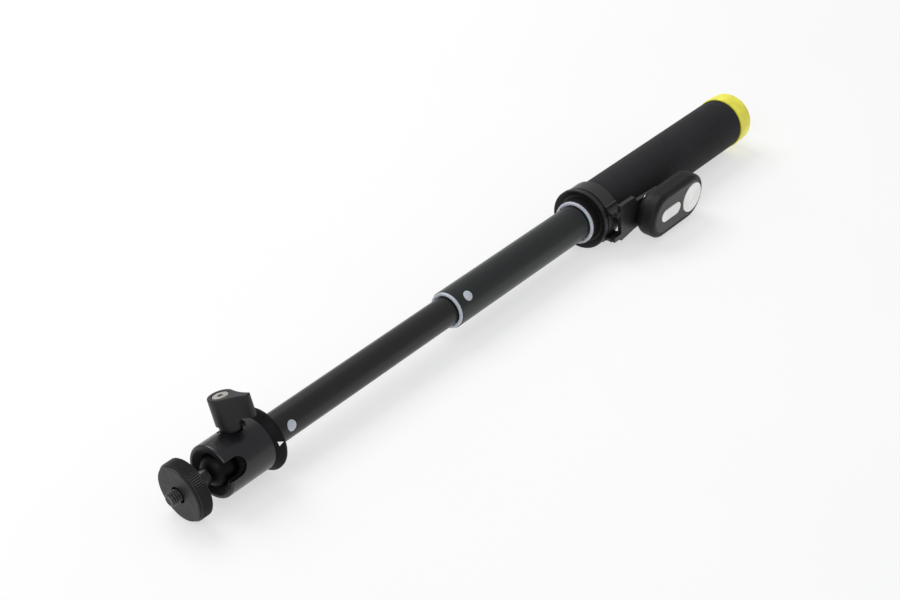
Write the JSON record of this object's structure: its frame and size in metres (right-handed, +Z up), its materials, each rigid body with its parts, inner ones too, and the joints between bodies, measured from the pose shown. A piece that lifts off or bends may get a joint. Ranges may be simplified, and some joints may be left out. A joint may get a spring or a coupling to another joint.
{
  "type": "selfie stick",
  "caption": "Telescoping selfie stick with a notched ball head, wing knob, tripod screw, twist-lock tubes, foam grip and a clip-on wireless remote.",
  "frame": {"origin": "middle of the footprint of the bounding box, at its lowest point", "axes": "+X along the pole from the ball head towards the grip, +Z up, -Y towards the remote"},
  "size_m": [0.4518, 0.0494, 0.0477],
  "materials": {
    "black_anodised": "satin black anodised",
    "charcoal_anodised": "satin charcoal anodised",
    "head_charcoal": "satin charcoal",
    "bright_steel": "bright",
    "black_plastic": "matte moulded",
    "dark_grey_plastic": "satin moulded",
    "light_nylon": "light bluish grey",
    "foam": "fine closed-cell foam",
    "rubber_pad": "matte rubber",
    "yellow_plastic": "translucent pale yellow",
    "white_plastic": "glossy white",
    "board_green": "circuit board",
    "brass": "plain"
  },
  "bodies": {
    "grip": {"outer_bush": "light_nylon", "outer_tube": "black_anodised", "grip_collar": "black_plastic", "grip_foam": "foam", "end_cap": "yellow_plastic"},
    "mid_lock": {"mid_lock_sleeve": "black_plastic"},
    "mid_section": {"mid_tube": "charcoal_anodised", "mid_bush": "light_nylon", "mid_lock_core": "light_nylon"},
    "inner_lock": {"inner_lock_sleeve": "black_plastic"},
    "top_section": {"inner_tube": "black_anodised", "inner_lock_core": "light_nylon", "top_plug": "light_nylon", "head_stud": "bright_steel", "top_flange": "black_plastic", "head_housing": "head_charcoal", "ball_seat": "black_plastic", "pressure_pad": "brass"},
    "ball_stem": {"ball": "dark_grey_plastic", "ball_neck": "head_charcoal"},
    "platform": {"platform_disc": "head_charcoal", "platform_pad": "rubber_pad", "camera_screw": "bright_steel"},
    "knob": {"lock_knob": "dark_grey_plastic", "lock_screw": "bright_steel"},
    "clip": {"remote_clip": "black_plastic"},
    "remote": {"remote_back": "black_plastic", "remote_front": "black_plastic", "remote_face": "dark_grey_plastic", "remote_board": "board_green", "shutter_switch": "black_plastic", "mode_switch": "black_plastic", "coin_cell": "bright_steel", "remote_screws": "bright_steel"},
    "shutter_button": {"shutter_button": "white_plastic"},
    "mode_button": {"mode_button": "white_plastic"}
  },
  "joints": [
    {"name": "mid_slide", "type": "slide", "parent": "grip", "child": "mid_lock", "axis": [1, 0, 0], "range_m": [0, 0.107]},
    {"name": "mid_twist", "type": "hinge", "parent": "mid_lock", "child": "mid_section", "pos_m": [0.0287, 0.00821, 0.0165], "axis": [1, 0, 0], "range_deg": [0, 180]},
    {"name": "inner_slide", "type": "slide", "parent": "mid_section", "child": "inner_lock", "axis": [1, 0, 0], "range_m": [0, 0.094]},
    {"name": "inner_twist", "type": "hinge", "parent": "inner_lock", "child": "top_section", "pos_m": [-0.1113, 0.00821, 0.0165], "axis": [1, 0, 0], "range_deg": [0, 180]},
    {"name": "ball_tilt", "type": "hinge", "parent": "top_section", "child": "ball_stem", "pos_m": [-0.1978, 0.00821, 0.0165], "axis": [-0.0476, 0.419, 0.9067], "range_deg": [-34, 95]},
    {"name": "platform_spin", "type": "hinge", "parent": "ball_stem", "child": "platform", "pos_m": [-0.1978, 0.00821, 0.0165], "axis": [-0.9915, 0.0902, -0.0937], "continuous": true},
    {"name": "knob_turn", "type": "hinge", "parent": "top_section", "child": "knob", "pos_m": [-0.1855, 0.00821, 0.0165], "axis": [0, 0.3256, 0.9455], "range_deg": [0, 360]},
    {"name": "clip_turn", "type": "hinge", "parent": "grip", "child": "clip", "pos_m": [0.0817, 0.00821, 0.0165], "axis": [1, 0, 0], "continuous": true},
    {"name": "remote_slide", "type": "slide", "parent": "clip", "child": "remote", "axis": [1, 0, 0], "range_m": [0, 0.024]},
    {"name": "shutter_press", "type": "slide", "parent": "remote", "child": "shutter_button", "axis": [0, 0.9986, 0.0523], "range_m": [0, 0.0004], "stiffness_N_per_m": 600, "springref_m": -0.0003},
    {"name": "mode_press", "type": "slide", "parent": "remote", "child": "mode_button", "axis": [0, 0.9986, 0.0523], "range_m": [0, 0.0004], "stiffness_N_per_m": 600, "springref_m": -0.0003}
  ]
}
